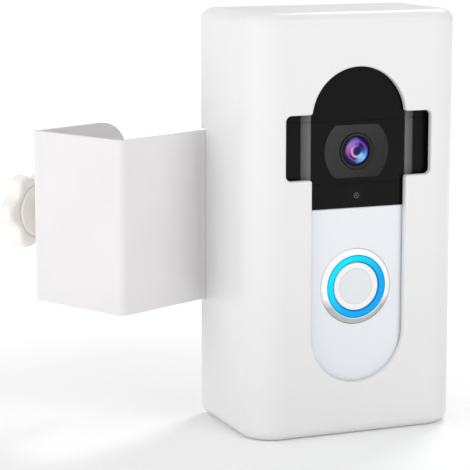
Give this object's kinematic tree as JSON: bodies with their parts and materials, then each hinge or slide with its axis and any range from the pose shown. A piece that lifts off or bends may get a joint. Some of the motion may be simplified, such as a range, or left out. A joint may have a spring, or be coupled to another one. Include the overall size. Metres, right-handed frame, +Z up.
{
  "type": "video doorbell",
  "caption": "Battery video doorbell with camera, push button and blue light ring, in a white anti-theft housing with a folded door clamp and star knob.",
  "frame": {"origin": "middle of the housing's flat underside", "axes": "+X to the right seen from the front, +Y to the back, +Z up"},
  "size_m": [0.1545, 0.1134, 0.16],
  "materials": {
    "white_gloss": "gloss",
    "white_plate": "gloss",
    "white_carrier": "matte",
    "black_gloss": "gloss",
    "black_matte": "matte",
    "white_steel": "satin",
    "zinc_steel": "satin",
    "cream_plastic": "satin",
    "black_rubber": "matte",
    "window_smoke": "gloss",
    "lens_coated": "gloss",
    "trim_black": "satin",
    "bezel_white": "gloss",
    "ring_blue": "satin",
    "button_white": "satin",
    "board_green": "satin",
    "board_white": "satin",
    "cell_wrap": "satin",
    "silver_can": "satin",
    "copper_trace": "satin",
    "foam_grey": "matte",
    "sensor_dark": "gloss"
  },
  "bodies": {
    "base": {"housing_cover": "white_gloss", "opening_gasket": "foam_grey", "back_plate": "white_carrier", "cover_lock_screws": "zinc_steel", "clamp_bracket": "white_steel", "bracket_screws": "zinc_steel", "bracket_nuts": "zinc_steel", "front_pad": "black_rubber", "side_pad": "black_rubber", "weld_nut": "zinc_steel", "front_housing": "black_gloss", "faceplate": "white_plate", "housing_gasket": "black_rubber", "rear_housing": "black_matte", "housing_screws": "zinc_steel", "wall_bracket": "black_matte", "wall_bracket_screws": "zinc_steel", "security_screw": "zinc_steel", "camera_window": "window_smoke", "lens_trim_ring": "trim_black", "lens_barrel": "trim_black", "lens_glass": "lens_coated", "inner_lens": "lens_coated", "image_sensor": "sensor_dark", "camera_board": "board_green", "ir_leds": "sensor_dark", "sensor_window": "window_smoke", "light_sensor": "sensor_dark", "button_bezel": "bezel_white", "light_ring": "ring_blue", "ring_board": "board_white", "ring_leds": "board_white", "tact_switch": "black_matte", "main_board": "board_green", "processor_shield": "silver_can", "microphone": "silver_can", "pir_sensors": "silver_can", "antenna": "copper_trace", "speaker": "black_matte", "battery_pack": "cell_wrap", "battery_foam": "foam_grey", "charge_port": "silver_can", "port_plug": "black_rubber", "wire_terminals": "zinc_steel"},
    "foot": {"pressure_foot": "white_carrier", "foot_pad": "black_rubber"},
    "screw": {"clamp_screw": "zinc_steel", "retaining_ring": "zinc_steel", "knob": "cream_plastic", "knob_cap": "cream_plastic"},
    "button": {"button_cap": "button_white"}
  },
  "joints": [
    {"name": "clamp_feed", "type": "slide", "parent": "base", "child": "foot", "axis": [0.4384, -0.8988, 0], "range_m": [-0.01, 0.012]},
    {"name": "knob_turn", "type": "hinge", "parent": "foot", "child": "screw", "pos_m": [-0.08499, 0.0553, 0.077], "axis": [0.4384, -0.8988, 0], "range_deg": [-3601, 4321]},
    {"name": "button_press", "type": "slide", "parent": "base", "child": "button", "axis": [0, 1, 0], "range_m": [0, 0.0007], "stiffness_N_per_m": 1500, "springref_m": -0.0003}
  ],
  "couplings": [
    {"joint": "knob_turn", "follows": "clamp_feed", "rad_per_m": 6283.2}
  ]
}
